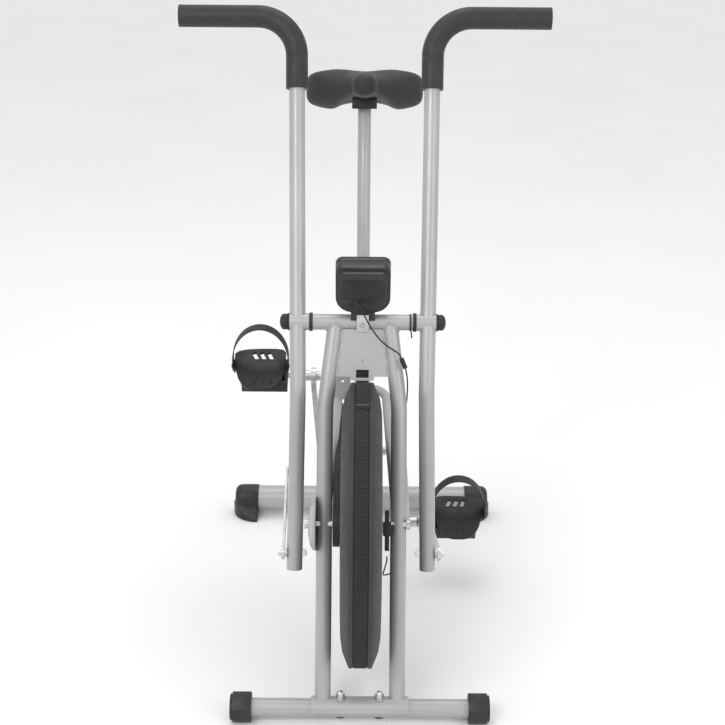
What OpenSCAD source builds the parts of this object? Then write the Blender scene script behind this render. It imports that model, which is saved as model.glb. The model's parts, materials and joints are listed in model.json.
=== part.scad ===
// Upright dual-action exercise bike: a strap-braked wheel between two leaning legs, a chain
// drive to a one-piece crank, and two swinging arms joined to the cranks by flat links.
// Millimetres. +Z up, -Y is the front, the origin is the middle of the footprint on the floor.

/* [Frame] */
// Diameter of the legs, crossbar and arms
tube_d = 28; // [26:1:29]
// Wall of the frame tubes
tube_wall = 1.6; // [1.2:0.1:2.4]
// Half the distance between the legs at the floor
leg_x = 65; // [64:1:67]
// Length of the front stabilizer over its caps
front_len = 453; // [420:1:480]
// Length of the rear stabilizer over its caps
rear_len = 560; // [500:1:600]
// Diameter of the front stabilizer
front_d = 32; // [30:1:34]
// Diameter of the rear stabilizer
rear_d = 54; // [48:1:56]

/* [Wheel] */
// Radius of the wheel
wheel_r = 248; // [240:1:250]
// Half the width of the wheel
wheel_x = 34.5; // [34:0.5:36.5]
// Width of the brake strap
strap_w = 22.5; // [20:0.5:23]

/* [Drive] */
// Length of each crank
crank_r = 170; // [160:1:172]
// Teeth on the chainring
ring_teeth = 40; // [36:1:42]
// Teeth on the wheel's sprocket
sprocket_teeth = 14; // [13:1:15]
// Thickness of each connecting link
link_t = 4; // [3:0.5:4]

/* [Arms] */
// Height of the hand grips
grip_z = 1142; // [1120:1:1150]
// Half the width over the hand grips
grip_x = 330; // [300:1:340]
// Diameter of the foam grips
grip_d = 39; // [36:1:40]

/* [Seat] */
// Height of the middle of the saddle
saddle_top = 990; // [975:1:1000]
// Width of the saddle
saddle_w = 238; // [220:1:240]

/* [Hidden] */
$fn = 64;

paint = "silver";
black = "#2b2b2d";
steel = "#b9bbbd";
foam = "#333436";

tube_r = tube_d / 2;
gap = 0.3;
front = [0, -340, 25];
rear = [0, 439.5, 36];
pivot = [0, -76, 647];
hub = [0, -221, 324];
axis_c = [0, 154, 288];
elbow_e = [0, -190, 249];
knee = [leg_x, -135, 510];
leg_top_x = 47.5;
lean = atan2(pivot[1] - knee[1], pivot[2] - knee[2]);
leg_lean = atan2(knee[1] + 334, knee[2] - 36);

// Line from the crank axis to the lower arm bolts, and the two crank pins square to it
run_ce = unit(elbow_e - axis_c);
square_ce = [0, -run_ce[2], run_ce[1]];
pin_left = axis_c - crank_r * square_ce;
pin_right = axis_c + crank_r * square_ce;

// Planes across the machine, as distances from the middle
crank_out = 99;
link_in = 116.2;
link_out = 136.4;
pedal_in = 142;
arm_x = 114.6;
arm_e = 118.4;
arm_top = 121;
chain_x = 41.5;

// Upper arm direction and the corner where the grip turns outwards
arm_rise = grip_z - pivot[2];
arm_back = arm_rise * tan(23.6);
arm_corner = [arm_top, pivot[1] + arm_back, grip_z];
arm_up = unit(arm_corner - [arm_x, pivot[1], pivot[2]]);
arm_knee = [arm_x, pivot[1], pivot[2]] - 124.5 * arm_up;
arm_down = unit([arm_e, elbow_e[1], elbow_e[2]] - arm_knee);
arm_foot = [arm_e, elbow_e[1], elbow_e[2]] + 30 * arm_down;
grip_bend = 70;

seat_lean = 17;
seat_dir = [0, sin(seat_lean), cos(seat_lean)];
back_dir = [0, cos(seat_lean), -sin(seat_lean)];
seat_mouth = axis_c + 380 * seat_dir;
post_r = 12.7;
// Length of the seat tube's axis from the crank axis to the middle of the saddle's underside
saddle_run = saddle_top - 304;
saddle_at = axis_c + saddle_run * seat_dir;
saddle_tip = 11.5;

// Stays from the legs round the seat tube
stay_start = [62, -205, 335];
stay_corner = [46, 178, 412];
stay_r = 9;

chain_pitch = 12.7;
ring_r = chain_pitch / (2 * sin(180 / ring_teeth));
sprocket_r = chain_pitch / (2 * sin(180 / sprocket_teeth));

console_tilt = 14;
console_mid = [0, -76, 720];
pedal_tip = 25;
toe_lean = 20;
strap_top = 66.1;
strap_end = 372;
strap_lap = 101;
strap_in = wheel_r - 2.5 + gap;
strap_dir = [0, -sin(strap_end), cos(strap_end)];
strap_off = hub + (strap_in + 1) * [0, cos(strap_end), sin(strap_end)];

// Route of the console's lead: out of the housing, down to the connector on the right leg
lead_points = [
    [-6, -101, 694.5], [-6.5, -106, 693], [-4.5, -110.5, 689], [-1.5, -113, 682],
    [2, -114, 674.5], [6, -114, 666.5], [12.5, -114, 654.2], [19.5, -114, 643.1],
    [26.6, -113.5, 632.8], [35.5, -113, 623.2], [44.3, -114, 616], [53, -116, 611],
    [60, -119, 607.3], [65, -122, 603.3], [67.5, -125, 599]
];
lead_r = 1.3;
// Route of the sensor's lead: out of the sensor, a slack loop, then up behind the right leg
sensor_points = [
    [45, -257, 280], [45, -258, 272], [43, -258, 263], [41, -255, 253], [39.5, -249, 243],
    [39.5, -241, 235], [41, -233, 229], [45, -226, 226], [51, -221, 225], [57, -218, 227],
    [63, -215, 232], [68, -212, 240], [71.5, -210, 250], [73.5, -209, 262], [74, -208, 280],
    [74, -203, 300], [74, -196, 325], [74, -185, 350], [74, -168.5, 390], [74, -154, 425],
    [74, -139.5, 460], [74.5, -127, 485], [77, -119, 500], [79, -115.5, 520],
    [79.5, -117, 540], [79, -122, 556], [77.5, -128, 569], [75, -131, 582]
];

function unit(v) = v / norm(v);
function across(v) = abs(v[0]) < 0.9 ? unit(cross(v, [1, 0, 0])) : unit(cross(v, [0, 1, 0]));
function axes(x, y, z, at) = [
    [x[0], y[0], z[0], at[0]], [x[1], y[1], z[1], at[1]], [x[2], y[2], z[2], at[2]], [0, 0, 0, 1]
];
function turn(p, i) = acos(unit(p[i] - p[i - 1]) * unit(p[i + 1] - p[i]));
function setback(p, i, bend) = bend * tan(turn(p, i) / 2);
function flip(p) = [-p[0], p[1], p[2]];

module on_side(side) {
    if (side < 0) mirror([1, 0, 0]) children();
    else children();
}
module along(a, b) {
    z = unit(b - a);
    x = across(z);
    multmatrix(axes(x, cross(z, x), z, a)) children();
}
module rod(a, b, r) along(a, b) cylinder(r = r, h = norm(b - a));
module x_rod(at, x0, x1, r) translate([x0, at[1], at[2]]) rotate([0, 90, 0]) cylinder(r = r, h = x1 - x0);
module x_turned(at) translate(at) rotate([0, 90, 0]) rotate_extrude($fn = 96) children();
module ring(r, wall) {
    difference() {
        circle(r);
        circle(r - wall);
    }
}
module pipe(a, b, r, wall) along(a, b) linear_extrude(norm(b - a)) ring(r, wall);
module elbow(before, at, after, bend, r, wall) {
    u = unit(at - before);
    w = unit(after - at);
    m = unit(w - (w * u) * u);
    t = acos(u * w);
    centre = at - u * bend * tan(t / 2) + m * bend;
    multmatrix(axes(-m, u, cross(-m, u), centre))
        rotate_extrude(angle = t) translate([bend, 0]) ring(r, wall);
}
// Straight runs and bends; each bend is a hair fuller than the runs it takes in
module bent_pipe(p, bend, r, wall) {
    n = len(p) - 1;
    for (i = [0 : n - 1]) {
        d = unit(p[i + 1] - p[i]);
        from = i == 0 ? 0 : setback(p, i, bend) - 0.3;
        short = i == n - 1 ? 0 : setback(p, i + 1, bend) - 0.3;
        pipe(p[i] + d * from, p[i + 1] - d * short, r, wall);
    }
    for (i = [1 : 1 : n - 1]) elbow(p[i - 1], p[i], p[i + 1], bend, r + 0.05, wall + 0.1);
}
// A tube swept along points, as one closed skin of eight-sided rings
module cord(p, r) {
    n = len(p);
    sides = 8;
    function tangent(i) = unit(p[min(i + 1, n - 1)] - p[max(i - 1, 0)]);
    function rib(i) = let (t = tangent(i), x = across(t), y = cross(t, x))
        [for (k = [0 : sides - 1]) p[i] + r * (cos(360 * k / sides) * x + sin(360 * k / sides) * y)];
    polyhedron(
        points = [for (i = [0 : n - 1]) each rib(i)],
        faces = concat(
            [[for (k = [0 : sides - 1]) k]],
            [for (i = [0 : n - 2]) for (k = [0 : sides - 1])
                [i * sides + k, (i + 1) * sides + k,
                 (i + 1) * sides + (k + 1) % sides, i * sides + (k + 1) % sides]],
            [[for (k = [sides - 1 : -1 : 0]) (n - 1) * sides + k]]
        )
    );
}
// Plate standing across the machine, drawn in the (Y, Z) plane
module side_plate(x0, thick) translate([x0, 0, 0]) rotate([90, 0, 90]) linear_extrude(thick) children();

// ---- feet -------------------------------------------------------------------------------
module front_stabilizer() color(paint) difference() {
    translate([-front_len / 2 + 4, front[1], front[2]]) rotate([0, 90, 0])
        linear_extrude(front_len - 8) ring(front_d / 2, 1.6);
    for (s = [-1, 1]) translate([34 * s, front[1], 0]) cylinder(r = 4.3, h = 60);
}
module front_caps() color(black) for (s = [-1, 1]) on_side(s) {
    reach = front_len / 2;
    difference() {
        union() {
            translate([reach - 37, front[1], front[2]]) rotate([0, 90, 0]) rotate([0, 0, 22.5])
                cylinder(r = 25 / cos(22.5), h = 33, $fn = 8);
            translate([reach - 4, front[1], front[2]]) rotate([0, 90, 0]) cylinder(r = 23, h = 4);
        }
        translate([reach - 38, front[1], front[2]]) rotate([0, 90, 0])
            cylinder(r = front_d / 2 + 0.05, h = 34.05);
    }
}
module rear_stabilizer() color(paint)
    translate([-rear_len / 2 + 22, rear[1], rear[2]]) rotate([0, 90, 0])
        linear_extrude(rear_len - 44) ring(rear_d / 2, 1.8);
// Domed cap with a wedge foot, rounded in plan, in front of it
module rear_caps() color(black) for (s = [-1, 1]) on_side(s) {
    reach = rear_len / 2;
    skin = rear_d / 2 + 2.5;
    difference() {
        union() {
            x_turned(rear) polygon([
                [0, reach - 52], [skin, reach - 52], [skin, reach - 18], [skin - 0.9, reach - 11],
                [skin - 3.5, reach - 5.5], [skin - 8, reach - 1.8], [skin - 14.5, reach - 0.4], [0, reach]
            ]);
            intersection() {
                side_plate(reach - 50, 60) polygon([
                    [rear[1] - 50, 0], [rear[1] + 24, 0], [rear[1] + 24, 20],
                    [rear[1] - 22, 34], [rear[1] - 50, 7]
                ]);
                translate([reach - 50, rear[1] + 4, -1]) cylinder(r = 54, h = 50);
            }
        }
        x_rod(rear, reach - 60, reach - 21.95, rear_d / 2 + 0.05);
        x_rod(rear, reach - 22, reach - 8, rear_d / 2 - 4);
    }
}
module base_plate() color(paint) difference() {
    intersection() {
        x_turned_shell(front, -85, 85, front_d / 2 + 4.1, 4.05);
        translate([-90, front[1] - 30, front[2] + 1]) cube([180, 60, 40]);
    }
    for (s = [-1, 1]) translate([34 * s, front[1], 20]) cylinder(r = 4.3, h = 60);
}
module x_turned_shell(at, x0, x1, r, wall)
    translate([x0, at[1], at[2]]) rotate([0, 90, 0]) linear_extrude(x1 - x0) ring(r, wall);
module base_bolts() color(steel) for (s = [-1, 1]) translate([34 * s, front[1], 0]) {
    seat = front[2] + front_d / 2 + 4.1;
    translate([0, 0, 4.6]) cylinder(r1 = 6, r2 = 9.5, h = 4);
    translate([0, 0, 8]) cylinder(r = 4, h = seat - 8 + 8);
    translate([0, 0, seat]) cylinder(r = 9.5, h = 1.8);
    translate([0, 0, seat + 1.8]) cylinder(r = 7.5, h = 7, $fn = 6);
    translate([0, 0, seat + 8.8]) difference() {
        sphere(6.2);
        translate([-10, -10, -20]) cube([20, 20, 20]);
    }
}

// ---- frame ------------------------------------------------------------------------------
module leg(side) color(paint) on_side(side) difference() {
    bent_pipe([[leg_x, -334, 36], knee, [leg_top_x, pivot[1], pivot[2]]], 160, tube_r, tube_wall);
    x_rod(front, 0, 120, front_d / 2 + 4.1);
    x_rod(pivot, 0, 120, tube_r + 0.3);
    x_rod(hub, 0, 120, 5.2);
}
module leg_left() leg(-1);
module leg_right() leg(1);
// Crossbar with the welded angle that carries the brake's tension rod
module crossbar() color(paint) difference() {
    union() {
        x_rod(pivot, -88, 88, tube_r);
        along(strap_off, strap_off + strap_dir) {
            translate([-26.8, -13, 258]) cube([40.8, 26, 3]);
            translate([-26.8, -13, 258]) cube([3, 26, 28]);
        }
    }
    x_rod(pivot, -90, 90, tube_r - 2);
    rod(strap_off, strap_off + 300 * strap_dir, 3.4);
    translate([0, pivot[1] - 20, pivot[2]]) rotate([-90, 0, 0]) cylinder(r = 2.2, h = 20);
}
module gusset_plate() color(paint) difference() {
    translate(pivot) rotate([-lean, 0, 0]) rotate([90, 0, 0]) difference() {
        translate([0, 0, 5]) linear_extrude(3) polygon([
            [-36, -13], [36, -13], [47.5, -96], [21, -96], [20, -103], [-20, -103],
            [-21, -96], [-47.5, -96]
        ]);
        translate([-12.5, -98, 0]) cube([25, 14, 20]);
        translate([0, -68, 0]) cylinder(r = 2.3, h = 20);
    }
    for (s = [-1, 1]) on_side(s) rod([leg_top_x, pivot[1], pivot[2]], knee, tube_r);
    x_rod(pivot, -90, 90, tube_r);
}
module stay_loop() color(paint) difference() {
    bent_pipe([stay_start, stay_corner, flip(stay_corner), flip(stay_start)], 36, stay_r, 1.5);
    for (s = [-1, 1]) on_side(s) rod([leg_x, -334, 36], knee, tube_r);
    rod(axis_c, seat_mouth, 16);
}
module seat_tube() color(paint) {
    pin_at = seat_mouth - 26 * seat_dir;
    difference() {
        union() {
            rod(axis_c + 10 * seat_dir, seat_mouth, 16);
            rod(pin_at, pin_at + 24 * back_dir, 9);
        }
        rod(axis_c, seat_mouth + seat_dir, post_r + 0.05);
        x_rod(axis_c, -60, 60, 24);
        rod(pin_at, pin_at + 40 * back_dir, 4.1);
    }
}
module bottom_bracket() color(paint) {
    x_turned(axis_c) polygon([[20, -34], [24, -34], [24, 34], [20, 34]]);
    for (s = [-1, 1]) color(steel) on_side(s) x_turned(axis_c)
        polygon([[8.6, 26], [19.95, 26], [19.95, 34], [22, 34], [22, 37.2], [8.6, 37.2]]);
}
module rear_strut() color(paint) difference() {
    pipe(axis_c + 60 * seat_dir, [0, rear[1], rear[2]], 19, 1.8);
    rod(axis_c, seat_mouth, 16);
    x_rod(rear, -60, 60, rear_d / 2);
    x_rod(axis_c, -60, 60, 24);
}
module pivot_axle() color(steel) x_rod(pivot, -136, 136, 9);
module pivot_bushes() color(black) for (s = [-1, 1]) on_side(s) x_turned(pivot)
    polygon([[9.02, 88.2], [16.5, 88.2], [16.5, 93.8], [11, 93.8], [11, 128.8], [9.02, 128.8]]);
module pivot_caps() color(black) for (s = [-1, 1]) on_side(s) {
    x_turned(pivot) polygon([[9.02, 129.1], [15.5, 129.1], [15.5, 131.6], [9.02, 131.6]]);
    x_turned(pivot) polygon([
        [0, 136.15], [9.05, 136.15], [9.05, 131.7], [14, 131.7], [14, 139.5], [13, 141.4],
        [11, 143.3], [8, 144.9], [4, 145.8], [0, 146]
    ]);
}

// ---- wheel and brake --------------------------------------------------------------------
module cover_half() x_turned(hub) polygon([
    [wheel_r - 2.5, 0], [wheel_r - 2.5, 12.5], [wheel_r, 12.5], [wheel_r, 19.7],
    [wheel_r - 28, wheel_x - 3.4], [wheel_r - 50, wheel_x], [110, wheel_x - 3], [46, wheel_x - 2.2],
    [24, wheel_x - 2.2], [24, wheel_x - 5.2], [46, wheel_x - 5.2], [110, wheel_x - 6],
    [wheel_r - 51, wheel_x - 3], [wheel_r - 30, wheel_x - 6.4], [wheel_r - 5, 18], [wheel_r - 5, 0]
]);
module wheel_cover_left() color(black) mirror([1, 0, 0]) cover_half();
module wheel_cover_right() color(black) cover_half();
module wheel_weight() color("dimgray") x_turned(hub)
    polygon([[204, -12], [238, -12], [238, 12], [204, 12]]);
module wheel_hub() color(steel) {
    flange = wheel_x - 5.5;
    x_turned(hub) polygon([
        [11, -44], [16, -44], [16, -flange], [42, -flange], [42, 3 - flange], [17, 3 - flange],
        [17, flange - 3], [42, flange - 3], [42, flange], [16, flange], [16, 38], [11, 38]
    ]);
    for (x = [-42, 28]) x_turned([x, hub[1], hub[2]])
        polygon([[5.05, 0], [10.98, 0], [10.98, 9], [5.05, 9]]);
}
module wheel_axle() color(steel) {
    x_rod(hub, -97, 84, 5);
    for (x = [-99, 79.2]) x_turned([x, hub[1], hub[2]])
        polygon([[0, 0.5], [8.5, 0], [8.5, 6], [0, 6.5]]);
    for (x = [-50.6, 38.5]) x_turned([x, hub[1], hub[2]])
        polygon([[5.02, 0], [8, 0], [8, 5.5], [5.02, 5.5]]);
}
module hub_cover() color(paint) on_side(-1) x_turned(hub) polygon([
    [5.2, 91.2], [20, 90.2], [34, 87], [44, 81.5], [44, 79.1], [47, 79.1], [47, 81.5],
    [45, 85.2], [37, 89], [22, 92], [5.2, 92.8]
]);
function teeth_outline(n, pitch_r, tip_r, root_r) = [
    for (i = [0 : n - 1]) each [
        for (q = [[-0.32, root_r], [-0.12, tip_r], [0.12, tip_r], [0.32, root_r]])
            let (a = (i + q[0]) * 360 / n) q[1] * [cos(a), sin(a)]
    ]
];
module toothed(at, x0, thick, teeth, pitch_r, bore) translate([x0, at[1], at[2]])
    rotate([90, 0, 90]) linear_extrude(thick) difference() {
        polygon(teeth_outline(teeth, pitch_r, pitch_r - 4.3, pitch_r - 7.5));
        circle(bore);
    }
module sprocket() color(steel) toothed(hub, -chain_x - 1.4, 2.8, sprocket_teeth, sprocket_r, 16.02);
// Outline of a band round two circles, the first at the wheel's axis and the second at the crank's
drive_y = axis_c[1] - hub[1];
drive_z = axis_c[2] - hub[2];
drive_far = norm([drive_y, drive_z]);
function arc_points(x, r, from, to, n) =
    [for (i = [0 : n]) let (a = from + (to - from) * i / n) [x + r * cos(a), r * sin(a)]];
module band(r1, r2) {
    lap = 90 + asin((r2 - r1) / drive_far);
    translate([hub[1], hub[2]]) rotate(atan2(drive_z, drive_y)) polygon(concat(
        arc_points(drive_far, r2, -lap, lap, 60), arc_points(0, r1, lap, 360 - lap, 40)
    ));
}
module chain_loop(grow) band(sprocket_r + grow, ring_r + grow);
module chain() color("#6d6a66") {
    for (x = [-chain_x - 3.6, -chain_x + 2.2]) side_plate(x, 1.4) difference() {
        chain_loop(3.8);
        chain_loop(-3.8);
    }
    for (a = [-80 : 20 : 80]) x_rod(axis_c + (ring_r - 0.2) * [0, cos(a), sin(a)],
        -chain_x - 3, -chain_x + 3, 1.8);
}
module chain_guard() color(black) difference() {
    side_plate(-49.6, 12) band(40, 95);
    side_plate(-48, 12) band(38, 93);
    x_rod(hub, -60, -30, 14);
    x_rod(axis_c, -60, -30, 26);
    rod(flip(stay_start), flip(stay_corner), stay_r + 0.6);
}
// Plate welded on the left stay
module guard_bracket() color(paint) difference() {
    translate([-54, 138, 406]) cube([31, 3, 50]);
    translate([-38, 130, 444]) rotate([-90, 0, 0]) cylinder(r = 2.6, h = 20);
    rod(flip(stay_start), flip(stay_corner), stay_r + 0.1);
}
// An arc of a profile round the wheel's axle, between two angles above the level line to the rear
module x_arc(from, to) translate(hub) rotate([0, 90, 0]) rotate([0, 0, from + 90])
    rotate_extrude(angle = to - from, $fn = 96) children();
module brake_strap() color(black) {
    fold_w = strap_w - 0.4;
    x_arc(strap_top, strap_end) translate([strap_in, -strap_w / 2]) square([2, strap_w]);
    x_arc(strap_top + 2, strap_lap) translate([strap_in + 1.9, -fold_w / 2]) square([1.7, fold_w]);
    along(strap_off, strap_off + strap_dir) translate([-1.05, -fold_w / 2, -1])
        cube([2.1, fold_w, 71]);
    translate(pivot) rotate([-lean, 0, 0]) translate([-fold_w / 2, 0, 0]) {
        translate([0, -4.95, -107]) cube([fold_w, 2, 31]);
        translate([0, -3, -82]) cube([fold_w, 3, 6]);
    }
}
module strap_spring() color(steel) {
    rod(strap_off + 70.1 * strap_dir, strap_off + 78 * strap_dir, 2);
    rod(strap_off + 78 * strap_dir, strap_off + 128 * strap_dir, 5.5);
    rod(strap_off + 128 * strap_dir, strap_off + 137.9 * strap_dir, 2);
}
module tension_rod() color(steel) {
    rod(strap_off + 138 * strap_dir, strap_off + 284 * strap_dir, 3);
    rod(strap_off + 138 * strap_dir, strap_off + 146 * strap_dir, 5);
}
module tension_knob() color(black) difference() {
    along(strap_off, strap_off + strap_dir) {
        translate([0, 0, 261.4]) cylinder(r = 8, h = 4.2);
        translate([0, 0, 265.4]) linear_extrude(12) union() {
            circle(13);
            for (a = [0 : 60 : 300]) rotate(a) translate([12.5, 0]) circle(4.5);
        }
    }
    rod(strap_off, strap_off + 300 * strap_dir, 3.05);
}

// ---- console ----------------------------------------------------------------------------
module at_console() translate(console_mid) rotate([console_tilt, 0, 0]) children();
// Outline with small upper corners and large lower ones, as one polygon
function corner(x, y, r, from) = [for (a = [from : 10 : from + 90]) [x + r * cos(a), y + r * sin(a)]];
module outline(w, h, top, low) polygon(concat(
    corner(w / 2 - top, h / 2 - top, top, 0), corner(top - w / 2, h / 2 - top, top, 90),
    corner(low - w / 2, low - h / 2, low, 180), corner(w / 2 - low, low - h / 2, low, 270)
));
module panel(y0, depth) translate([0, y0 + depth, 0]) rotate([90, 0, 0]) linear_extrude(depth) children();
module console_shell() color(black) difference() {
    union() {
        at_console() {
            panel(-24, 24) outline(95, 92, 12, 30);
            panel(-34, 10.5) outline(83, 80, 9, 26);
        }
        translate([-21, -89.9, 655]) cube([42, 26, 19]);
    }
    x_rod(pivot, -30, 30, tube_r);
    at_console() panel(-31, 32) outline(77, 74, 7, 23);
    rod([-6, -90, 698], [-6.3, -108, 692.3], 2.2);
}
module console_face() color(black) at_console() difference() {
    panel(0.05, 12) outline(96, 93, 12.5, 30.5);
    panel(6, 12) translate([0, 10]) outline(66, 38, 4, 4);
    panel(-1, 5) outline(80, 77, 8, 24);
    translate([0, -1, -26]) rotate([-90, 0, 0]) cylinder(r = 8.3, h = 8.5);
    translate([0, 5, -26]) rotate([-90, 0, 0]) cylinder(r = 6.3, h = 20);
}
module console_screen() color("#9aa58f") at_console()
    panel(6.05, 2.5) translate([0, 10]) outline(65.6, 37.6, 3.8, 3.8);
module battery_cover() color(black) at_console() difference() {
    panel(-36, 1.95) translate([0, 7]) outline(72, 38, 5, 5);
    panel(-37, 4) translate([0, 20]) square([13, 5], center = true);
}
module console_button() color(black) at_console() translate([0, 4.9, -26]) rotate([-90, 0, 0]) {
    cylinder(r = 6, h = 9.6);
    cylinder(r = 8, h = 2.4);
}
module console_bracket() color(steel) {
    difference() {
        translate([-10.5, -92.2, 634]) cube([21, 2, 32]);
        translate([0, -100, 647]) rotate([-90, 0, 0]) cylinder(r = 2.3, h = 20);
    }
    translate([0, -92.25, 647]) rotate([90, 0, 0]) difference() {
        cylinder(r1 = 4.6, r2 = 3.2, h = 2.6);
        translate([-3, -0.5, 1.2]) cube([6, 1, 3]);
        translate([-0.5, -3, 1.2]) cube([1, 6, 3]);
    }
    translate([0, -92.2, 647]) rotate([-90, 0, 0]) cylinder(r = 2.1, h = 6.5);
}
module console_lead() color(black) cord(lead_points, lead_r);
module sensor_lead() color(black) cord(sensor_points, lead_r);
module lead_connector() color(black) {
    low = lead_points[len(lead_points) - 1];
    high = sensor_points[len(sensor_points) - 1];
    rod(high + 0.2 * unit(low - high), low + 0.2 * unit(high - low), 4);
}
// Sensor clipped to the inner front of the right leg, standing parallel to it
module speed_sensor() color(black) difference() {
    translate([0, -230.7, 282]) rotate([-leg_lean, 0, 0]) {
        translate([41, -28, -2]) cube([8, 10, 26]);
        translate([38, -31, 23.9]) cube([14, 15, 24]);
        translate([41, -28, 47.8]) cube([8, 10, 20]);
        translate([48, -24, 28]) cube([10, 14, 14]);
    }
    rod([leg_x, -334, 36], knee, tube_r);
    x_rod(hub, 30, 70, 8.5);
}
module cable_ties() color(black) {
    x_turned_shell(pivot, 82, 85, tube_r + 1.2, 1.1);
    rod([83.5, -91, 645], [86, -99, 626], 1.2);
}

// ---- arms and links ---------------------------------------------------------------------
module arm(side) color(paint) on_side(side) difference() {
    union() {
        bent_pipe([arm_foot, arm_knee, arm_corner, [grip_x - 4, arm_corner[1], grip_z]],
                  grip_bend, tube_r, tube_wall);
        x_rod(pivot, 94.1, 128.7, 15);
    }
    x_rod(pivot, 90, 132, 11.06);
    x_rod(elbow_e, 90, 145, 4.1);
}
module arm_left() arm(-1);
module arm_right() arm(1);
module grip(side) color(foam) on_side(side) {
    bent_pipe([arm_corner - 128 * arm_up, arm_corner, [grip_x - 0.5, arm_corner[1], grip_z]],
              grip_bend, grip_d / 2, grip_d / 2 - tube_r - 0.15);
    x_rod(arm_corner, grip_x - 3.9, grip_x, tube_r + 1);
}
module grip_left() grip(-1);
module grip_right() grip(1);
// Bolt through the lower arm and the link: inner nut, spacer, washers and head
module link_bolt(side) on_side(side) color(steel) {
    at = [0, elbow_e[1], elbow_e[2]];
    head = link_out + link_t + 0.2;
    x_rod(at, 96, head + 1, 4);
    translate([97.8, at[1], at[2]]) rotate([0, 90, 0]) cylinder(r = 7.6, h = 6.5, $fn = 6);
    x_turned(at) polygon([[3.9, 132.6], [7.5, 132.6], [7.5, link_out - 0.2], [3.9, link_out - 0.2]]);
    x_turned(at) polygon([[3.9, head], [11, head], [11, head + 1.6], [3.9, head + 1.6]]);
    translate([head + 1.5, at[1], at[2]]) rotate([0, 90, 0]) cylinder(r = 7.6, h = 6, $fn = 6);
}
module link_bolt_left() link_bolt(-1);
module link_bolt_right() link_bolt(1);
// Flat link: outer plane at the arm bolt, a joggle, then the inner plane to the crank pin's eye
module link(side, pin) color(steel) on_side(side) {
    far = norm(pin - elbow_e);
    dir = unit(pin - elbow_e);
    translate([0, elbow_e[1], elbow_e[2]]) rotate([atan2(dir[2], dir[1]), 0, 0]) difference() {
        intersection() {
            linear_extrude(30, center = true) polygon([
                [link_out, -14], [link_out, far - 218], [link_in, far - 192], [link_in, far + 15],
                [link_in + link_t, far + 15], [link_in + link_t, far - 191],
                [link_out + link_t, far - 217], [link_out + link_t, -14]
            ]);
            translate([100, 0, 0]) rotate([90, 0, 90]) linear_extrude(60) {
                circle(13);
                translate([0, -13]) square([far, 26]);
                translate([far, 0]) circle(14);
            }
        }
        rotate([0, 90, 0]) cylinder(r = 4.06, h = 200);
        translate([0, far, 0]) rotate([0, 90, 0]) cylinder(r = 8.2, h = 200);
    }
}
module link_left() link(-1, pin_left);
module link_right() link(1, pin_right);

// ---- cranks and pedals ------------------------------------------------------------------
module crank_arm(side, pin) {
    far = norm(pin - axis_c);
    dir = unit(pin - axis_c);
    on_side(side) translate([0, axis_c[1], axis_c[2]]) rotate([atan2(dir[2], dir[1]), 0, 0])
        intersection() {
            linear_extrude(40, center = true) polygon([
                [79.5, -20], [79.5, 14], [89.5, far - 18], [89.5, far + 18],
                [crank_out, far + 18], [crank_out, far - 18], [89, 14], [89, -20]
            ]);
            translate([60, 0, 0]) rotate([90, 0, 90]) linear_extrude(60) {
                circle(16);
                polygon([[0, -14], [far, -11], [far, 11], [0, 14]]);
                translate([far, 0]) circle(16);
            }
        }
}
module crank() color(steel) {
    x_rod(axis_c, -79.6, 79.6, 8.5);
    crank_arm(-1, pin_left);
    crank_arm(1, pin_right);
}
module chainring() color(steel) {
    toothed(axis_c, -chain_x - 1.4, 2.8, ring_teeth, ring_r, 27);
    translate([-chain_x - 1.4, axis_c[1], axis_c[2]]) rotate([90, 0, 90]) linear_extrude(2.8) difference() {
        circle(28);
        circle(8.52);
    }
}
// Pin stub from the crank and the pedal's own spindle, with the link's plane left free
module pedal_spindle(side, pin) on_side(side) {
    x_turned(pin) polygon([[0, 81], [9.5, 81], [9.5, 89.3], [0, 89.3]]);
    x_turned([0, pin[1], pin[2]]) polygon([
        [0, crank_out + 0.05], [10.5, crank_out + 0.05], [10.5, 113], [8, link_in - 0.6],
        [0, link_in - 0.6]
    ]);
    x_turned([0, pin[1], pin[2]]) polygon([
        [0, link_in + link_t + 0.6], [8.5, link_in + link_t + 0.6], [8.5, pedal_in - 6],
        [5, pedal_in - 6], [5, pedal_in + 87], [0, pedal_in + 87]
    ]);
}
module pedal_spindles() color(steel) {
    pedal_spindle(-1, pin_left);
    pedal_spindle(1, pin_right);
}
// Pedal: a wide foot plate with slots over a spindle housing, tipped down at the front
module pedal(side, pin) color(black) on_side(side) translate([pedal_in, pin[1], pin[2]])
    rotate([pedal_tip, 0, 0]) difference() {
        union() {
            translate([57, 0, 13]) linear_extrude(5) difference() {
                polygon([
                    [49, 41], [41, 48], [25, 52], [0, 54], [-30, 54], [-44, 52], [-50, 45],
                    [-51, 12], [-44, -25], [-37, -40], [-27, -49], [-14, -53], [8, -53],
                    [21, -49], [31, -40], [40, -21], [49, 15]
                ]);
                for (x = [-21, -6.5, 8]) translate([x, 33]) rotate(-24) square([8, 21], center = true);
                for (x = [-24, -9, 6]) translate([x, -36]) circle(3.2);
            }
            rotate([0, 90, 0]) translate([0, 0, 2.2]) cylinder(r = 15, h = 88);
            for (x = [2.2, 86.2]) translate([x, -32, -12]) cube([4, 62, 26]);
            for (y = [-32, 26]) translate([2.2, y, -12]) cube([88, 4, 26]);
            translate([103, 2, 5]) cube([3.8, 24, 12]);
        }
        rotate([0, 90, 0]) cylinder(r = 5.06, h = 88);
    }
module pedal_left() pedal(-1, pin_left);
module pedal_right() pedal(1, pin_right);
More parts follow.
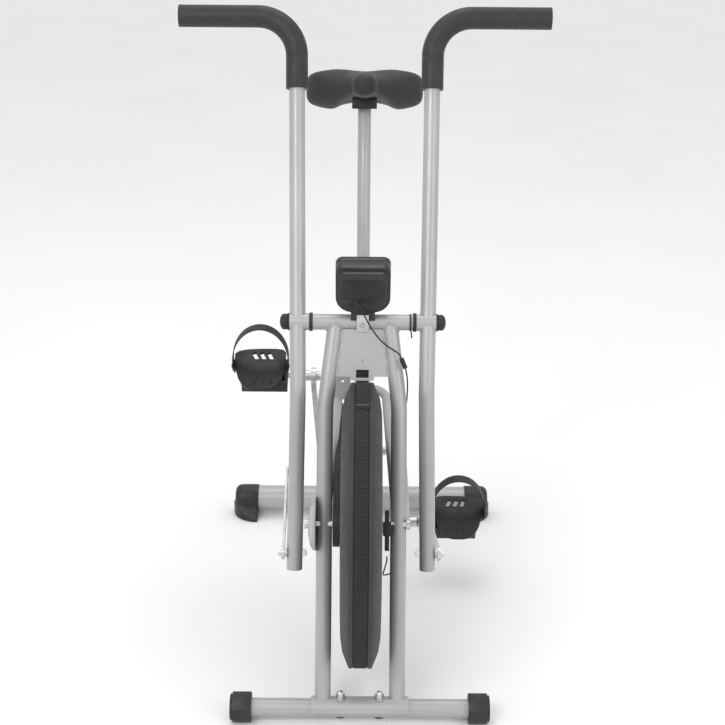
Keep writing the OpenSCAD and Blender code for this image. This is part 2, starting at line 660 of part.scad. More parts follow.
// Toe strap: an arch that leans back over the rear half of the pedal
function toe_arch(half, rise) =
    [[half, 0], for (a = [0 : 7.5 : 180]) [half * cos(a), 22 + rise * sin(a)], [-half, 0]];
module pedal_strap(side, pin) color(black) on_side(side) translate([pedal_in, pin[1], pin[2]])
    rotate([pedal_tip, 0, 0]) translate([54.5, 10, 8]) rotate([90 - toe_lean, 0, 0])
        linear_extrude(25, center = true) difference() {
            polygon(toe_arch(54.5, 68));
            translate([0, -0.01]) polygon(toe_arch(52.5, 66));
        }
module pedal_strap_left() pedal_strap(-1, pin_left);
module pedal_strap_right() pedal_strap(1, pin_right);

// ---- seat -------------------------------------------------------------------------------
module seat_post() color(paint) {
    difference() {
        pipe(axis_c + 270 * seat_dir, saddle_at - 2 * seat_dir, post_r, 2);
        for (s = [288 : 22 : 600]) rod(axis_c + s * seat_dir, axis_c + s * seat_dir + 30 * back_dir, 4.2);
    }
    color(steel) difference() {
        at_saddle() seat_clamp(0);
        rod(axis_c + 500 * seat_dir, saddle_at - 1.9 * seat_dir, post_r + 0.02);
    }
}
module at_saddle() translate(saddle_at) rotate([-saddle_tip, 0, 0]) children();
module seat_clamp(room) translate([-24 - room, -30 - room, -12 - room])
    cube([48 + 2 * room, 58 + 2 * room, 18 + 2 * room]);
// Rounded disc of foam at (x, y), from one height to another in the saddle's own frame
module puck(x, y, r, low, high) translate([x, y, low]) {
    cylinder(r = r - 8, h = 1, $fn = 32);
    translate([0, 0, 14]) cylinder(r = r, h = high - low - 36, $fn = 32);
    translate([0, 0, high - low - 1]) cylinder(r = r - 16, h = 1, $fn = 32);
}
// Two wide lobes that hang lower than the middle, and a nose that rises to the front
module saddle() color(black) at_saddle() difference() {
    union() {
        for (s = [-1, 1]) hull() {
            puck(s * (saddle_w / 2 - 42), 58, 42, -8, 66);
            puck(0, 34, 46, 6, 61);
        }
        hull() {
            puck(0, 14, 40, 6.1, 59);
            puck(0, -118, 27, 6.1, 60);
        }
    }
    seat_clamp(0.05);
}
// Sprung pull pin in the boss behind the seat tube's mouth
module seat_pin() {
    p = seat_mouth - 26 * seat_dir;
    color(steel) rod(p + 13.1 * back_dir, p + 26 * back_dir, 4);
    color(black) rod(p + 24.4 * back_dir, p + 44 * back_dir, 11);
}

front_stabilizer();
front_caps();
rear_stabilizer();
rear_caps();
base_plate();
base_bolts();
leg_left();
leg_right();
crossbar();
gusset_plate();
stay_loop();
seat_tube();
bottom_bracket();
rear_strut();
pivot_axle();
pivot_bushes();
pivot_caps();
wheel_axle();
hub_cover();
chain_guard();
guard_bracket();
chain();
brake_strap();
strap_spring();
tension_rod();
tension_knob();
console_bracket();
console_shell();
console_face();
console_screen();
battery_cover();
console_button();
console_lead();
lead_connector();
speed_sensor();
sensor_lead();
cable_ties();
arm_left();
arm_right();
grip_left();
grip_right();
link_bolt_left();
link_bolt_right();
link_left();
link_right();
crank();
chainring();
pedal_spindles();
wheel_cover_left();
wheel_cover_right();
wheel_weight();
wheel_hub();
sprocket();
pedal_left();
pedal_right();
pedal_strap_left();
pedal_strap_right();
seat_post();
saddle();
seat_pin();
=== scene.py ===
"""Looks of the dual-action exercise bike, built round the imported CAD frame. Metres, row frame."""
import json
import math

import bmesh
import bpy
from mathutils import Euler, Matrix, Vector

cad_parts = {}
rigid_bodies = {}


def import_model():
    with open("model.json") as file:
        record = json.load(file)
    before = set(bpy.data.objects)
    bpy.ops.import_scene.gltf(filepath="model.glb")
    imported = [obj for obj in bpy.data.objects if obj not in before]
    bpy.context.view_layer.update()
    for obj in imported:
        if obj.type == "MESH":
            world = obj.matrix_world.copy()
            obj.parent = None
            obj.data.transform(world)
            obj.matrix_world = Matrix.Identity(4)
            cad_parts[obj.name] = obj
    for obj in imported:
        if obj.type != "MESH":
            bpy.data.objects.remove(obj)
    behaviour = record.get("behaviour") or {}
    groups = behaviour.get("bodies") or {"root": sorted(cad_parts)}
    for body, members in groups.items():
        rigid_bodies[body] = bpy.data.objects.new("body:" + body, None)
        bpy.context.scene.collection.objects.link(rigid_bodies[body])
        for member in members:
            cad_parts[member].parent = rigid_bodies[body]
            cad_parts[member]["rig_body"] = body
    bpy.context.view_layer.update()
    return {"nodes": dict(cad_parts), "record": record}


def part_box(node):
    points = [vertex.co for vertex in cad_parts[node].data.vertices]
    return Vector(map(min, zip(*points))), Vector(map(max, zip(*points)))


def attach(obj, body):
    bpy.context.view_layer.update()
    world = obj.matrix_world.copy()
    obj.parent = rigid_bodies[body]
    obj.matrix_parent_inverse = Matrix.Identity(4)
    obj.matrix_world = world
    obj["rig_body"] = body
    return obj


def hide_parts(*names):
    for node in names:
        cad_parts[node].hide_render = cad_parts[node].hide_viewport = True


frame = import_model()
JOINTS = {j["name"]: j for j in frame["record"]["behaviour"]["joints"]}
PIVOT = Vector(JOINTS["arm_left_swing"]["pos_m"])
HUB = Vector(JOINTS["wheel_spin"]["pos_m"])
CRANK = Vector(JOINTS["crank_spin"]["pos_m"])
PINS = {s: Vector(JOINTS[f"pedal_{s}_spin"]["pos_m"]) for s in ("left", "right")}
SEAT_UP = Vector(JOINTS["seat_slide"]["axis"])
STRAP_UP = Vector(JOINTS["tension_knob_turn"]["axis"])
SIDES = {"left": -1, "right": 1}
SADDLE_BASE = CRANK + 0.686 * SEAT_UP  # middle of the saddle's underside
SADDLE_TILT = Matrix.Rotation(math.radians(-11.5), 3, "X")
SHADED_POST_FROM = 0.6725  # distance up the seat tube's axis from which the post is black, as painted shade under the saddle
PEDAL_IN = 0.142  # inner face of a pedal, from the middle
PEDAL_TIP = Matrix.Rotation(math.radians(25), 3, "X")
TOE_LEAN = Matrix.Rotation(math.radians(-20), 3, "X")
TOE_BASE = Vector((0.0545, 0.010, 0.008))  # foot of the toe strap's arch on its pedal
LEAD_RADIUS = 0.0013
STRAP_WIDTH = 0.0225
STRAP_FROM, STRAP_TO, LAP_TO = 66.2, 372, 101  # degrees round the hub
STRAP_STEP = 0.0008


# ---- camera and cords --------------------------------------------------------------------
def make_camera():
    data = bpy.data.cameras.new("camera")
    data.lens = 74.5
    data.sensor_width = 36
    camera = bpy.data.objects.new("camera", data)
    bpy.context.scene.collection.objects.link(camera)
    camera.location = (0, -2.55, 1.57)
    camera.rotation_euler = Euler((math.radians(68), 0, 0))
    camera.rotation_euler.rotate_axis("Z", math.radians(0.46))
    bpy.context.scene.camera = camera


# Points in millimetres that the two leads follow, as in the CAD source.
CONSOLE_ROUTE = [
    (-6, -101, 694.5), (-6.5, -106, 693), (-4.5, -110.5, 689), (-1.5, -113, 682),
    (2, -114, 674.5), (6, -114, 666.5), (12.5, -114, 654.2), (19.5, -114, 643.1),
    (26.6, -113.5, 632.8), (35.5, -113, 623.2), (44.3, -114, 616), (53, -116, 611),
    (60, -119, 607.3), (65, -122, 603.3), (67.5, -125, 599),
]
SENSOR_ROUTE = [
    (45, -257, 280), (45, -258, 272), (43, -258, 263), (41, -255, 253), (39.5, -249, 243),
    (39.5, -241, 235), (41, -233, 229), (45, -226, 226), (51, -221, 225), (57, -218, 227),
    (63, -215, 232), (68, -212, 240), (71.5, -210, 250), (73.5, -209, 262), (74, -208, 280),
    (74, -203, 300), (74, -196, 325), (74, -185, 350), (74, -168.5, 390), (74, -154, 425),
    (74, -139.5, 460), (74.5, -127, 485), (77, -119, 500), (79, -115.5, 520),
    (79.5, -117, 540), (79, -122, 556), (77.5, -128, 569), (75, -131, 582),
]


def route_curve(name, route, radius):
    knots = [Vector(p) / 1000 for p in route]
    ends = [2 * knots[0] - knots[1], *knots, 2 * knots[-1] - knots[-2]]
    points = [knots[0]]
    for a, b, c, d in zip(ends, ends[1:], ends[2:], ends[3:]):
        for t in (0.25, 0.5, 0.75, 1.0):
            points.append(0.5 * (2 * b + (c - a) * t + (2 * a - 5 * b + 4 * c - d) * t ** 2
                                 + (3 * b - a - 3 * c + d) * t ** 3))
    data = bpy.data.curves.new(name, "CURVE")
    data.dimensions = "3D"
    data.bevel_depth = 1
    data.bevel_resolution = 3
    data.use_fill_caps = True
    spline = data.splines.new("POLY")
    spline.points.add(len(points) - 1)
    for knot, place in zip(spline.points, points):
        knot.co = (*place, 1)
        knot.radius = radius
    piece = bpy.data.objects.new(name, data)
    bpy.context.scene.collection.objects.link(piece)
    length = sum((b - a).length for a, b in zip(points, points[1:]))
    return piece, points[0], length


def make_cord(name, node, route):
    piece, start, length = route_curve(name, route, LEAD_RADIUS)
    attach(piece, "frame")
    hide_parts(node)
    piece.data.materials.append(LEAD)


# ---- materials ---------------------------------------------------------------------------
class Surface:
    """A Principled material with procedural colour, roughness and height, in object space."""

    def __init__(self, name, roughness=0.5, metallic=0.0, **fixed):
        self.material = bpy.data.materials.new(name)
        self.material.use_nodes = True
        self.nodes = self.material.node_tree.nodes
        self.links = self.material.node_tree.links
        self.shader = self.nodes["Principled BSDF"]
        self.shader.inputs["Roughness"].default_value = roughness
        self.shader.inputs["Metallic"].default_value = metallic
        for socket, value in fixed.items():
            self.shader.inputs[socket.replace("_", " ")].default_value = value
        self.place = self.nodes.new("ShaderNodeTexCoord").outputs["Object"]

    def noise(self, scale, detail=3.0, stretch=(1, 1, 1)):
        mapping = self.nodes.new("ShaderNodeMapping")
        mapping.inputs["Scale"].default_value = stretch
        self.links.new(self.place, mapping.inputs["Vector"])
        node = self.nodes.new("ShaderNodeTexNoise")
        node.inputs["Scale"].default_value = scale
        node.inputs["Detail"].default_value = detail
        self.links.new(mapping.outputs["Vector"], node.inputs["Vector"])
        return node.outputs["Fac"]

    def cells(self, scale):
        node = self.nodes.new("ShaderNodeTexVoronoi")
        node.inputs["Scale"].default_value = scale
        self.links.new(self.place, node.inputs["Vector"])
        return node.outputs["Distance"]

    def colours(self, source, low, high, start=0.35, end=0.65):
        ramp = self.nodes.new("ShaderNodeValToRGB")
        ramp.color_ramp.elements[0].position = start
        ramp.color_ramp.elements[1].position = end
        ramp.color_ramp.elements[0].color = (*low, 1)
        ramp.color_ramp.elements[1].color = (*high, 1)
        self.links.new(source, ramp.inputs["Fac"])
        self.links.new(ramp.outputs["Color"], self.shader.inputs["Base Color"])

    def rough(self, source, low, high):
        span = self.nodes.new("ShaderNodeMapRange")
        span.inputs["From Min"].default_value = 0.3
        span.inputs["From Max"].default_value = 0.7
        span.inputs["To Min"].default_value = low
        span.inputs["To Max"].default_value = high
        self.links.new(source, span.inputs["Value"])
        self.links.new(span.outputs["Result"], self.shader.inputs["Roughness"])

    def height(self, source, distance, strength=0.5):
        bump = self.nodes.new("ShaderNodeBump")
        bump.inputs["Strength"].default_value = strength
        bump.inputs["Distance"].default_value = distance
        self.links.new(source, bump.inputs["Height"])
        self.links.new(bump.outputs["Normal"], self.shader.inputs["Normal"])


def coated_paint(name, low, high):
    s = Surface(name, metallic=0.25, Coat_Weight=0.2, Coat_Roughness=0.2)
    s.colours(s.noise(9, 4), low, high)
    s.rough(s.noise(24, 4), 0.34, 0.46)
    s.height(s.noise(420, 2), 0.0002, 0.12)
    return s.material


def plated_steel(name, low, high, rough, stretch=(1, 1, 1)):
    s = Surface(name, metallic=1.0)
    s.colours(s.noise(60, 4), low, high)
    s.rough(s.noise(180, 5, stretch), rough - 0.07, rough + 0.1)
    s.height(s.noise(500, 3, stretch), 0.0001, 0.15)
    return s.material


def moulded_plastic(name, low, high, rough, grain=0.18):
    s = Surface(name, Specular_IOR_Level=0.35)
    s.colours(s.noise(14, 5), low, high)
    s.rough(s.noise(70, 4), rough - 0.06, rough + 0.08)
    s.height(s.cells(900), 0.00025, grain)
    return s.material


def foam_skin(name):
    s = Surface(name, Specular_IOR_Level=0.4)
    s.colours(s.noise(40, 4), (0.021, 0.021, 0.022), (0.027, 0.027, 0.028))
    s.rough(s.noise(90, 4), 0.46, 0.58)
    s.height(s.cells(1400), 0.0002, 0.10)
    return s.material


def vinyl(name):
    s = Surface(name, Specular_IOR_Level=0.4)
    s.colours(s.noise(30, 5), (0.016, 0.016, 0.017), (0.024, 0.024, 0.025))
    s.rough(s.noise(60, 4), 0.46, 0.60)
    s.height(s.cells(520), 0.0005, 0.35)
    return s.material


def webbing(name, low, high):
    s = Surface(name, Specular_IOR_Level=0.3, Sheen_Weight=0.04, Sheen_Roughness=0.5)
    s.colours(s.noise(900, 3), low, high)
    s.rough(s.noise(300, 3), 0.62, 0.80)
    s.height(s.cells(1600), 0.0005, 0.5)
    return s.material


def display_glass(name):
    s = Surface(name, Coat_Weight=0.8, Coat_Roughness=0.05)
    s.colours(s.noise(40, 2), (0.40, 0.45, 0.38), (0.44, 0.49, 0.41))
    s.rough(s.noise(50, 2), 0.18, 0.26)
    return s.material


PAINT = coated_paint("silver_paint", (0.375, 0.375, 0.373), (0.405, 0.405, 0.403))
ZINC = plated_steel("bright_steel", (0.56, 0.56, 0.56), (0.70, 0.70, 0.69), 0.32, (1, 1, 6))
SPRING = plated_steel("spring_steel", (0.60, 0.60, 0.60), (0.72, 0.72, 0.72), 0.22)
CHAIN = plated_steel("dark_steel", (0.16, 0.155, 0.15), (0.26, 0.25, 0.24), 0.42)
IRON = plated_steel("cast_weight", (0.10, 0.10, 0.10), (0.17, 0.17, 0.17), 0.6)
BLACK = moulded_plastic("black_plastic", (0.014, 0.014, 0.015), (0.022, 0.022, 0.023), 0.46)
GLOSS = moulded_plastic("gloss_black", (0.022, 0.022, 0.023), (0.030, 0.030, 0.031), 0.34, 0.08)
CAP = moulded_plastic("cap_plastic", (0.020, 0.020, 0.021), (0.028, 0.028, 0.029), 0.44)
COVER = moulded_plastic("cover_plastic", (0.027, 0.027, 0.027), (0.034, 0.034, 0.034), 0.56, 0.15)
LENS = moulded_plastic("lens_grey", (0.36, 0.365, 0.37), (0.42, 0.425, 0.43), 0.25, 0.03)
RUBBER = moulded_plastic("pedal_rubber", (0.014, 0.014, 0.015), (0.024, 0.024, 0.025), 0.55, 0.25)
LEAD = moulded_plastic("lead_jacket", (0.010, 0.010, 0.010), (0.018, 0.018, 0.018), 0.45, 0.05)
FOAM = foam_skin("grip_foam")
SKIN = vinyl("saddle_skin")
WEB = webbing("strap_web", (0.008, 0.008, 0.008), (0.018, 0.018, 0.019))
# A lighter copy of the strap webbing, painted light on the raised ribs; the darker strap_web stands
# as painted shade in the grooves between them.
RIB_LIT = webbing("strap_rib_lit", (0.040, 0.040, 0.040), (0.052, 0.052, 0.052))
THREAD = webbing("strap_thread", (0.25, 0.25, 0.25), (0.32, 0.32, 0.32))
DISPLAY = display_glass("display")
BY_SLOT = {
    "silver_paint": PAINT, "bright_steel": ZINC, "spring_steel": SPRING, "dark_steel": CHAIN,
    "cast_weight": IRON, "black_plastic": BLACK, "gloss_black": GLOSS, "cap_plastic": CAP,
    "cover_plastic": COVER, "lens_grey": LENS, "pedal_rubber": RUBBER, "lead_jacket": LEAD,
    "grip_foam": FOAM, "saddle_skin": SKIN, "strap_web": WEB, "display": DISPLAY,
}
SLOT_OF = {s["node"]: s["material_slot"] for s in frame["record"]["subparts"]}


def finish_nodes():
    """Each CAD node takes its slot's material, with smooth shading between its hard edges."""
    for name, node in frame["nodes"].items():
        node.data.materials.clear()
        node.data.materials.append(BY_SLOT[SLOT_OF[name]])
        smooth(node)


# ---- mesh helpers ------------------------------------------------------------------------
def smooth(piece, angle=32):
    piece.data.polygons.foreach_set("use_smooth", [True] * len(piece.data.polygons))
    piece.data.set_sharp_from_angle(angle=math.radians(angle))


def new_piece(name, vertices, faces, body, slot):
    mesh = bpy.data.meshes.new(name)
    mesh.from_pydata([tuple(v) for v in vertices], [], faces)
    mesh.validate()
    shape = bmesh.new()
    shape.from_mesh(mesh)
    bmesh.ops.recalc_face_normals(shape, faces=shape.faces)
    shape.to_mesh(mesh)
    shape.free()
    piece = bpy.data.objects.new(name, mesh)
    bpy.context.scene.collection.objects.link(piece)
    piece.data.materials.append(BY_SLOT[slot])
    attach(piece, body)
    smooth(piece)
    return piece


def apply_modifiers(piece):
    graph = bpy.context.evaluated_depsgraph_get()
    mesh = bpy.data.meshes.new_from_object(piece.evaluated_get(graph))
    piece.modifiers.clear()
    piece.data = mesh


def softened(node_name, width, segments=2):
    """A copy of a CAD node with its sharp edges rounded, standing for that node."""
    node = frame["nodes"][node_name]
    shape = bmesh.new()
    shape.from_mesh(node.data)
    bmesh.ops.remove_doubles(shape, verts=shape.verts, dist=1e-6)
    bmesh.ops.dissolve_limit(shape, angle_limit=math.radians(0.6), verts=shape.verts,
                             edges=shape.edges)
    mesh = bpy.data.meshes.new(node_name + "_body")
    shape.to_mesh(mesh)
    shape.free()
    piece = bpy.data.objects.new(node_name + "_body", mesh)
    bpy.context.scene.collection.objects.link(piece)
    bevel = piece.modifiers.new("edges", "BEVEL")
    bevel.width = width
    bevel.segments = segments
    bevel.limit_method = "ANGLE"
    bevel.angle_limit = math.radians(40)
    bevel.use_clamp_overlap = True
    apply_modifiers(piece)
    piece.data.materials.clear()
    piece.data.materials.append(BY_SLOT[SLOT_OF[node_name]])
    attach(piece, node["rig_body"])
    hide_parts(node_name)
    smooth(piece, 30)
    return piece


def ring_faces(rows, columns, closed_rows=False):
    faces = []
    for i in range(rows if closed_rows else rows - 1):
        for k in range(columns):
            a = i * columns + k
            b = i * columns + (k + 1) % columns
            c = (i + 1) % rows * columns + (k + 1) % columns
            d = (i + 1) % rows * columns + k
            faces.append((a, b, c, d))
    return faces


def tube(name, points, radius, body, slot, sides=10):
    """A round tube along points, with closed ends."""
    vertices = []
    side = None
    for i, p in enumerate(points):
        ahead = (points[min(i + 1, len(points) - 1)] - points[max(i - 1, 0)]).normalized()
        side = side - ahead * side.dot(ahead) if side else ahead.orthogonal()
        side.normalize()
        other = ahead.cross(side)
        for k in range(sides):
            a = 2 * math.pi * k / sides
            vertices.append(p + radius * (math.cos(a) * side + math.sin(a) * other))
    faces = ring_faces(len(points), sides)
    faces.append(tuple(range(sides)))
    faces.append(tuple(len(vertices) - 1 - k for k in range(sides)))
    return new_piece(name, vertices, faces, body, slot)


# ---- saddle ------------------------------------------------------------------------------
def ease(t, low, high):
    t = min(1.0, max(0.0, (t - low) / (high - low)))
    return t * t * (3 - 2 * t)


def saddle_shape():
    """Rings along the saddle: a narrow nose, then two lobes that hang at the sides."""
    low_y, high_y, half = -0.144, 0.099, 0.115
    stations, sides = 40, 56
    vertices = []
    for i in range(stations):
        t = i / (stations - 1)
        nose_tip = math.sqrt(max(0.0, 1 - (1 - min(t / 0.13, 1)) ** 2))
        rear_tip = math.sqrt(max(0.0, 1 - (1 - min((1 - t) / 0.16, 1)) ** 2))
        tip = max(nose_tip * rear_tip, 0.04)
        wide = (0.025 + (half - 0.025) * ease(t, 0.34, 0.74)) * tip ** 0.6
        lobes = ease(t, 0.42, 0.74)
        for k in range(sides):
            a = 2 * math.pi * k / sides
            c, s = math.cos(a), math.sin(a)
            square = 0.62 - 0.2 * lobes
            x = math.copysign(abs(c) ** square, c) * wide
            top = (1 - lobes) * (0.056 - 0.008 * (x / 0.03) ** 2 * (1 - lobes))
            top += lobes * (0.060 - 0.005 * math.exp(-(x / 0.026) ** 2))
            bottom = (1 - lobes) * 0.011 + lobes * (0.007 - 0.020 * ease(abs(x), 0.028, 0.066))
            middle, thick = (top + bottom) / 2, (top - bottom) / 2 * tip ** 0.7
            z = middle + thick * math.copysign(abs(s) ** square, s)
            local = Vector((x, low_y + t * (high_y - low_y), z))
            vertices.append(SADDLE_BASE + SADDLE_TILT @ local)
    faces = ring_faces(stations, sides)
    faces.append(tuple(range(sides)))
    faces.append(tuple(len(vertices) - 1 - k for k in range(sides)))
    return vertices, faces


def inflate(piece, pressure, cap):
    """Cloth under air pressure, with each point held within a cap of where it began."""
    scene = bpy.context.scene
    remesh = piece.modifiers.new("remesh", "REMESH")
    remesh.mode = "VOXEL"
    remesh.voxel_size = 0.005
    apply_modifiers(piece)
    start = [v.co.copy() for v in piece.data.vertices]
    cloth = piece.modifiers.new("cloth", "CLOTH")
    cloth.settings.use_pressure = True
    cloth.settings.uniform_pressure_force = pressure
    cloth.settings.effector_weights.gravity = 0
    cloth.settings.tension_stiffness = 25
    cloth.settings.bending_stiffness = 2
    cloth.point_cache.frame_end = 14
    for step in range(1, 15):
        scene.frame_set(step)
    apply_modifiers(piece)
    scene.frame_set(1)
    for vertex, home in zip(piece.data.vertices, start):
        moved = vertex.co - home
        if moved.length > cap:
            vertex.co = home + moved.normalized() * cap
    relax = piece.modifiers.new("relax", "SMOOTH")
    relax.factor = 0.5
    relax.iterations = 6
    refine = piece.modifiers.new("refine", "SUBSURF")
    refine.levels = 1
    apply_modifiers(piece)


def make_shaded_seat_post():
    """The seat post, its top under the saddle in the black plastic material as painted shade from
    the saddle.
    """
    post = softened("seat_post", 0.0008)
    post.data.materials.append(BLACK)
    # Faces high up the post take the black material: painted shade under the saddle.
    for face in post.data.polygons:
        if (face.center - CRANK).dot(SEAT_UP) > SHADED_POST_FROM:
            face.material_index = 1


def make_saddle():
    vertices, faces = saddle_shape()
    saddle = new_piece("saddle_cushion", vertices, faces, "seat", "saddle_skin")
    inflate(saddle, 3.0, 0.004)
    saddle.data.materials.clear()
    saddle.data.materials.append(SKIN)
    smooth(saddle, 180)
    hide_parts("saddle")


# ---- brake strap and spring --------------------------------------------------------------
def ribbed_band(name, path, outwards, width, thick, body, slot, rib=0.0):
    """A flat band along a path, with a rib across it at every second pair of rows."""
    vertices = []
    half = width / 2
    for i, (p, out) in enumerate(zip(path, outwards)):
        lift = thick + (rib if i % 4 > 1 else 0.0)
        for x, h in ((-half, 0), (-half, lift * 0.8), (-half + 0.0008, lift), (half - 0.0008, lift),
                     (half, lift * 0.8), (half, 0)):
            vertices.append(p + Vector((x, 0, 0)) + out * h)
    faces = ring_faces(len(path), 6)
    faces.append(tuple(range(6)))
    faces.append(tuple(len(vertices) - 1 - k for k in range(6)))
    return new_piece(name, vertices, faces, body, slot)


def rim_path(start, end, radius, step):
    count = max(2, round(math.radians(end - start) * radius / step))
    angles = [math.radians(start + (end - start) * i / count) for i in range(count + 1)]
    out = [Vector((0, math.cos(a), math.sin(a))) for a in angles]
    return [HUB + radius * o for o in out], out


def make_brake():
    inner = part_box("wheel_cover_left")[1].z - HUB.z - 0.0022
    width = STRAP_WIDTH
    path, out = rim_path(STRAP_FROM, STRAP_TO, inner, STRAP_STEP)
    for _ in range(86):
        path.append(path[-1] + STRAP_UP * STRAP_STEP)
        out.append(out[-1])
    band = ribbed_band("strap_band", path, out, width, 0.0013, "frame", "strap_web", 0.0007)
    # Faces on the raised rib rows take the lighter copy as painted light; the others keep the
    # darker webbing, painted shade in the grooves.
    band.data.materials.append(RIB_LIT)
    for face in band.data.polygons:
        rows = [v // 6 for v in face.vertices]
        if len(rows) == 4 and all(row % 4 > 1 for row in rows):
            face.material_index = 1
    smooth(band, 30)
    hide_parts("brake_strap")
    lap_path, lap_out = rim_path(66.5, LAP_TO, inner + 0.0021, 0.005)
    lap = ribbed_band("strap_lap", lap_path, lap_out, width - 0.0006, 0.0015, "frame", "strap_web")
    end = math.radians(LAP_TO)
    onwards = Vector((0, -math.sin(end), math.cos(end)))
    corners = lap.data.vertices
    for i, vertex in enumerate(corners):
        vertex.co.x += 0.0022 * (i / len(corners))
        if i >= len(corners) - 6:
            slant = 1 + vertex.co.x / width
            vertex.co += onwards * 0.004 * slant
    a = math.radians(LAP_TO - 1.4)
    seam = HUB + (inner + 0.0036) * Vector((0, math.cos(a), math.sin(a)))
    half = Vector((0.0016, 0, 0))
    for i in range(5):
        at = seam + Vector(((i - 1.8) * 0.0042, 0, 0))
        stitch = tube(f"strap_stitch_{i}", [at - half, at + half], 0.0006, "frame", "strap_web", 6)
        stitch.data.materials.clear()
        stitch.data.materials.append(THREAD)
    up, front = leg_frame()
    points = [PIVOT - up * d / 1000 + front * 0.003 for d in (107, 101, 95, 89, 83, 77)]
    ribbed_band("strap_tail", points, [front] * len(points), width - 0.0006, 0.0019, "frame",
                "strap_web")


def leg_frame():
    """Directions up along the legs' upper half and out to their front."""
    up = Vector((0, 0.059, 0.137)).normalized()
    return up, Vector((0, -up.z, up.y))


def make_welds():
    """Beads where the legs meet the crossbar and where the gusset meets the legs."""
    up, front = leg_frame()
    for side_name, side in SIDES.items():
        points = []
        for i in range(33):
            a = 2 * math.pi * i / 32
            reach = 0.0138 * abs(math.cos(a)) + 0.0008
            across = Vector((side * (0.0475 + 0.117 * reach) + 0.0142 * math.cos(a), 0, 0))
            points.append(PIVOT + across - up * reach + front * 0.0142 * math.sin(a))
        bead = tube(f"leg_weld_{side_name}", points, 0.0019, "frame", "silver_paint", 8)
        ripple(bead)
        for n, (start, end) in enumerate(((17, 36), (50, 62), (76, 93))):
            run = [PIVOT - up * d / 1000 + front * 0.0084
                   + Vector((side * (0.0344 + 0.000117 * d), 0, 0)) for d in range(start, end + 1)]
            ripple(tube(f"gusset_weld_{side_name}_{n}", run, 0.0017, "frame", "silver_paint", 8))


def ripple(bead):
    """The scale-like swell of a weld bead, the same on every run."""
    for vertex in bead.data.vertices:
        vertex.co += vertex.normal * 0.00035 * math.sin(vertex.co.z * 2600 + vertex.co.x * 1900)


def make_toe_strap(side_name):
    """A moulded strap over the pedal, pierced along its inner half, with a stud at each end."""
    side, pin = SIDES[side_name], PINS[side_name]

    def placed(x, across, high):
        local = PEDAL_TIP @ (TOE_BASE + TOE_LEAN @ Vector((x, across, high)))
        return pin + Vector((side * (PEDAL_IN + local.x), local.y, local.z))

    line = [(-0.0535, h / 1000) for h in range(0, 22, 3)]
    line += [(-0.0535 * math.cos(math.radians(a)), 0.022 + 0.067 * math.sin(math.radians(a)))
             for a in range(0, 181, 3)]
    line += [(0.0535, h / 1000) for h in range(19, -1, -3)]
    right = (0.0012, 0.0048, 0.0072, 0.0118, 0.0125)
    columns = (*(-x for x in reversed(right)), *right)
    vertices = [placed(x, across, high) for x, high in line for across in columns]
    faces = []
    for i in range(len(line) - 1):
        for k in range(len(columns) - 1):
            if k in (2, 4, 6) and 12 < i < 34 and i % 2:
                continue
            a = i * len(columns) + k
            faces.append((a, a + 1, a + len(columns) + 1, a + len(columns)))
    strap = new_piece(f"toe_strap_{side_name}", vertices, faces, f"pedal_{side_name}",
                      "pedal_rubber")
    solid = strap.modifiers.new("thickness", "SOLIDIFY")
    solid.thickness = 0.0019
    solid.offset = 0
    bevel = strap.modifiers.new("edges", "BEVEL")
    bevel.width = 0.0003
    bevel.segments = 1
    bevel.limit_method = "ANGLE"
    bevel.angle_limit = math.radians(50)
    apply_modifiers(strap)
    strap.data.materials.clear()
    strap.data.materials.append(RUBBER)
    smooth(strap, 40)
    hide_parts(f"pedal_strap_{side_name}")
    for end, low, high in (("outer", 0.0553, 0.0567), ("inner", -0.0553, -0.0544)):
        button = [placed(low, 0, 0.006), placed(high, 0, 0.006)]
        tube(f"strap_stud_{end}_{side_name}", button, 0.0042, f"pedal_{side_name}",
             "pedal_rubber", 16)


def make_spring():
    """A coil with a half-round hook at each end, along the strap's pull."""
    low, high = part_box("strap_spring")
    start = Vector((0, high.y, low.z)) + Vector((0, -0.0021, 0.0004))
    up = STRAP_UP.normalized()
    length = (high.z - low.z) / up.z - 0.001
    side = Vector((1, 0, 0))
    other = up.cross(side)
    points = []
    turns, coil = 17, 0.0047
    for i in range(9):
        a = math.pi * (i / 8)
        points.append(start + up * (0.004 - 0.003 * math.cos(a)) + other * 0.003 * math.sin(a))
    for i in range(turns * 14 + 1):
        a = 2 * math.pi * i / 14
        points.append(start + up * (0.009 + (length - 0.018) * i / (turns * 14))
                      + coil * (math.cos(a) * side + math.sin(a) * other))
    for i in range(9):
        a = math.pi * (i / 8)
        points.append(start + up * (length - 0.004 - 0.003 * math.cos(a))
                      + other * 0.003 * math.sin(a))
    spring = tube("spring_coil", points, 0.0008, "frame", "spring_steel", 6)
    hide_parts("strap_spring")
    smooth(spring, 80)


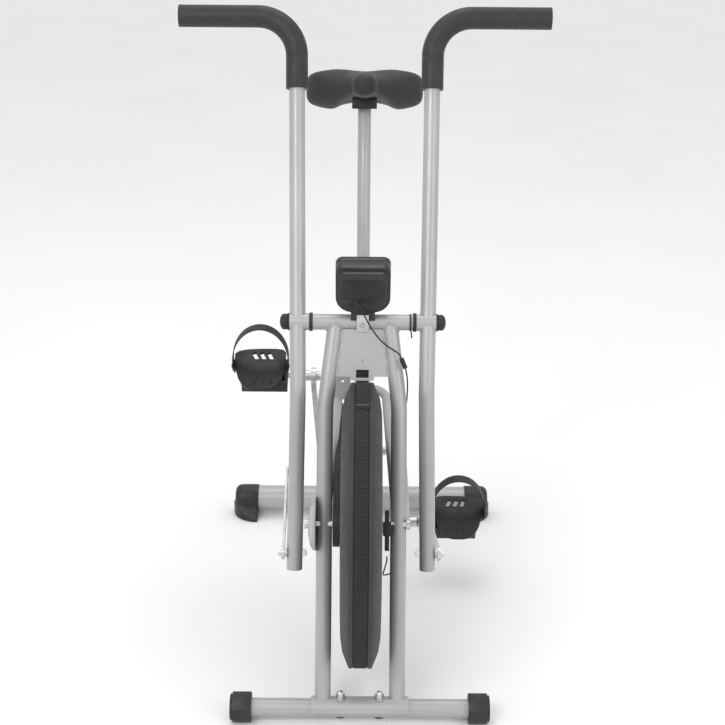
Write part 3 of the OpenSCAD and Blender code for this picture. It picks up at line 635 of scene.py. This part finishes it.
# ---- stage -------------------------------------------------------------------------------
def make_stage():
    mesh = bpy.data.meshes.new("floor")
    mesh.from_pydata([(-8, -5, 0), (8, -5, 0), (8, 9, 0), (-8, 9, 0)], [], [(0, 1, 2, 3)])
    floor = bpy.data.objects.new("floor", mesh)
    bpy.context.scene.collection.objects.link(floor)
    floor.location.z = -0.0005
    pale = Surface("floor_pale", roughness=0.75)
    pale.colours(pale.noise(1.5, 2), (0.86, 0.86, 0.86), (0.88, 0.88, 0.88))
    floor.data.materials.append(pale.material)
    world = bpy.data.worlds.new("studio")
    world.use_nodes = True
    world.node_tree.nodes["Background"].inputs["Color"].default_value = (1, 1, 1, 1)
    world.node_tree.nodes["Background"].inputs["Strength"].default_value = 0.9
    bpy.context.scene.world = world
    for name, place, size, power in (
        ("key", (-1.6, -2.8, 3.0), 1.4, 46), ("fill", (2.4, -2.4, 2.2), 1.6, 18),
        ("top", (0, 0.8, 3.2), 1.6, 20),
    ):
        data = bpy.data.lights.new(name, "AREA")
        data.size = size
        data.energy = power
        lamp = bpy.data.objects.new(name, data)
        bpy.context.scene.collection.objects.link(lamp)
        lamp.location = place
        aim = Vector((0, 0, 0.6)) - Vector(place)
        lamp.rotation_euler = aim.to_track_quat("-Z", "Y").to_euler()
    bpy.context.scene.view_settings.view_transform = "Standard"


make_camera()
make_cord("console_cord", "console_lead", CONSOLE_ROUTE)
make_cord("sensor_cord", "sensor_lead", SENSOR_ROUTE)
finish_nodes()
make_saddle()
make_shaded_seat_post()
make_brake()
make_spring()
make_welds()
for side_label in SIDES:
    make_toe_strap(side_label)
for node_name, width in (
    ("grip_left", 0.0028), ("grip_right", 0.0028),
    ("console_shell", 0.0035), ("console_face", 0.0028),
    ("front_caps", 0.0016), ("rear_caps", 0.0022),
    ("pedal_left", 0.0010), ("pedal_right", 0.0010),
    ("tension_knob", 0.0012), ("battery_cover", 0.0008), ("speed_sensor", 0.0012),
    ("wheel_cover_left", 0.0014), ("wheel_cover_right", 0.0014), ("pivot_caps", 0.0008),
):
    softened(node_name, width)
make_stage()
